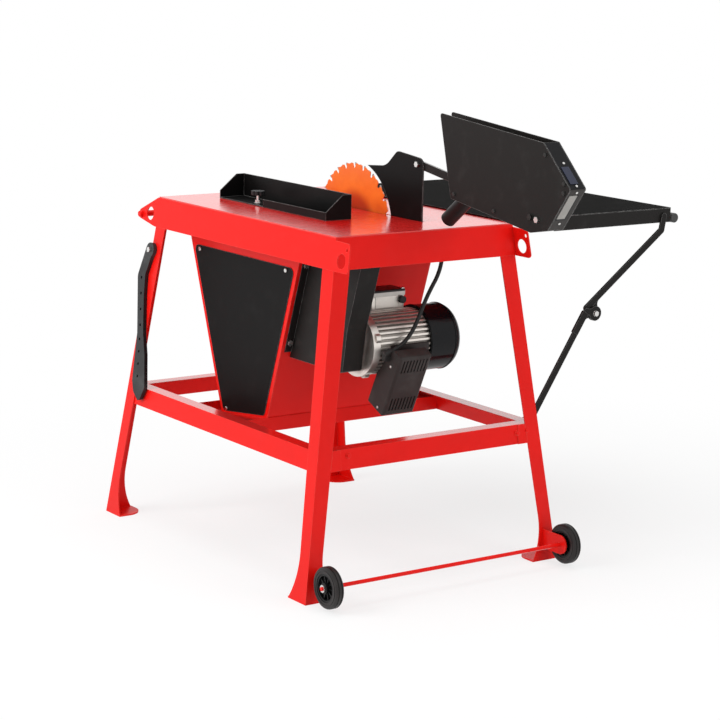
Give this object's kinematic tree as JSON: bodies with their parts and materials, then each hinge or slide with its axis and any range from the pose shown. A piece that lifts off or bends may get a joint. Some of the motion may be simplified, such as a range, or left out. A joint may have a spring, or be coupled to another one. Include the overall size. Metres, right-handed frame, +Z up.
{
  "type": "site table saw",
  "caption": "Wheeled site saw on a splayed sheet-steel stand, with belt-driven blade, swing-over guard, rip fence, dust hopper and folding table extension.",
  "frame": {"origin": "middle of the whole saw's box, on the floor", "axes": "+X along the feed to the outfeed end, +Y towards the table extension, +Z up"},
  "size_m": [1.3691, 1.2169, 1.1233],
  "materials": {
    "red_paint": "glossy powder coat",
    "black_paint": "satin powder coat",
    "blade_coat": "baked coating with ground teeth",
    "zinc": "zinc plated",
    "steel": "turned",
    "iron": "machined casting",
    "motor_metal": "die cast",
    "black_plastic": "fine grained",
    "window_plastic": "smoked, see-through",
    "panel_metal": "satin",
    "rubber": "smooth",
    "tyre": "solid rubber",
    "hub_plastic": "moulded"
  },
  "bodies": {
    "stand": {"table_top": "red_paint", "apron_near": "red_paint", "apron_far": "red_paint", "apron_infeed": "red_paint", "apron_outfeed": "red_paint", "leg_near_infeed": "red_paint", "leg_near_outfeed": "red_paint", "leg_far_infeed": "red_paint", "leg_far_outfeed": "red_paint", "side_stretchers": "red_paint", "end_stretchers": "red_paint", "handle_bar": "red_paint", "hopper_side_walls": "red_paint", "hopper_end_walls": "red_paint", "axle_brackets": "red_paint", "wheel_axle": "red_paint", "hopper_cover": "black_paint", "drive_housing": "black_paint", "riving_knife": "black_paint", "hinge_leaves": "black_paint", "brace_foot": "black_paint", "fan_cover": "black_paint", "panel_screws": "zinc", "hex_bolts": "zinc", "axle_caps": "zinc", "table_blocks": "iron", "motor_body": "motor_metal", "motor_shield": "motor_metal", "terminal_box": "motor_metal", "terminal_lid": "black_plastic", "capacitor_box": "black_plastic", "cable_glands": "black_plastic", "junction_box": "black_plastic", "motor_cable": "rubber", "drive_belt": "rubber"},
    "blade": {"saw_blade": "blade_coat", "arbor_shaft": "steel", "blade_flanges": "steel"},
    "motor_rotor": {"motor_pulley": "iron"},
    "guard": {"guard_arm": "black_paint", "guard_near_plate": "black_paint", "guard_far_plate": "black_paint", "guard_shell": "black_paint", "guard_window": "window_plastic", "guard_panel": "panel_metal", "guard_spout": "black_plastic", "guard_bolts": "zinc"},
    "fence": {"rip_fence": "black_paint", "fence_screw": "zinc"},
    "clamp_knob": {"fence_knob": "black_plastic"},
    "extension": {"extension_top": "black_paint", "extension_frame": "black_paint", "extension_tube": "black_paint"},
    "brace_upper": {"brace_upper_arm": "black_paint"},
    "brace_lower": {"brace_lower_arm": "black_paint"},
    "wheel_near": {"tyre_near": "tyre", "hub_near": "hub_plastic"},
    "wheel_far": {"tyre_far": "tyre", "hub_far": "hub_plastic"},
    "push_stick": {"push_stick": "black_plastic"}
  },
  "joints": [
    {"name": "blade_spin", "type": "hinge", "parent": "stand", "child": "blade", "pos_m": [-0.1825, -0.15352, 0.809], "axis": [0, -1, 0], "continuous": true},
    {"name": "motor_spin", "type": "hinge", "parent": "stand", "child": "motor_rotor", "pos_m": [0.1075, -0.37351, 0.563], "axis": [0, -1, 0], "continuous": true},
    {"name": "guard_swing", "type": "hinge", "parent": "stand", "child": "guard", "pos_m": [0.0835, -0.15352, 0.988], "axis": [0, -1, 0], "range_deg": [0, 178]},
    {"name": "fence_slide", "type": "slide", "parent": "stand", "child": "fence", "axis": [0, 1, 0], "range_m": [-0.01, 0.095]},
    {"name": "knob_turn", "type": "hinge", "parent": "fence", "child": "clamp_knob", "pos_m": [-0.3455, -0.34152, 0.8745], "axis": [0, 0, 1], "range_deg": [0, 540]},
    {"name": "extension_fold", "type": "hinge", "parent": "stand", "child": "extension", "pos_m": [-0.1825, 0.03998, 0.843], "axis": [-1, 0, 0], "range_deg": [0, 70]},
    {"name": "brace_upper_turn", "type": "hinge", "parent": "extension", "child": "brace_upper", "pos_m": [0.1995, 0.55749, 0.833], "axis": [-1, 0, 0], "range_deg": [0, 49.4]},
    {"name": "brace_lower_turn", "type": "hinge", "parent": "stand", "child": "brace_lower", "pos_m": [0.1995, 0.12648, 0.335], "axis": [-1, 0, 0], "range_deg": [-40.3, 0]},
    {"name": "wheel_near_spin", "type": "hinge", "parent": "stand", "child": "wheel_near", "pos_m": [0.3625, -0.58452, 0.056], "axis": [0, 1, 0], "continuous": true},
    {"name": "wheel_far_spin", "type": "hinge", "parent": "stand", "child": "wheel_far", "pos_m": [0.3625, 0.12748, 0.056], "axis": [0, 1, 0], "continuous": true},
    {"name": "push_stick_swing", "type": "hinge", "parent": "stand", "child": "push_stick", "pos_m": [-0.5945, -0.50708, 0.71], "axis": [0, -0.9899, 0.1421], "range_deg": [-80, 80]}
  ],
  "couplings": [
    {"joint": "motor_spin", "follows": "blade_spin", "ratio": 1},
    {"joint": "brace_upper_turn", "follows": "extension_fold", "ratio": 0.7046},
    {"joint": "brace_lower_turn", "follows": "extension_fold", "ratio": -0.57479}
  ]
}
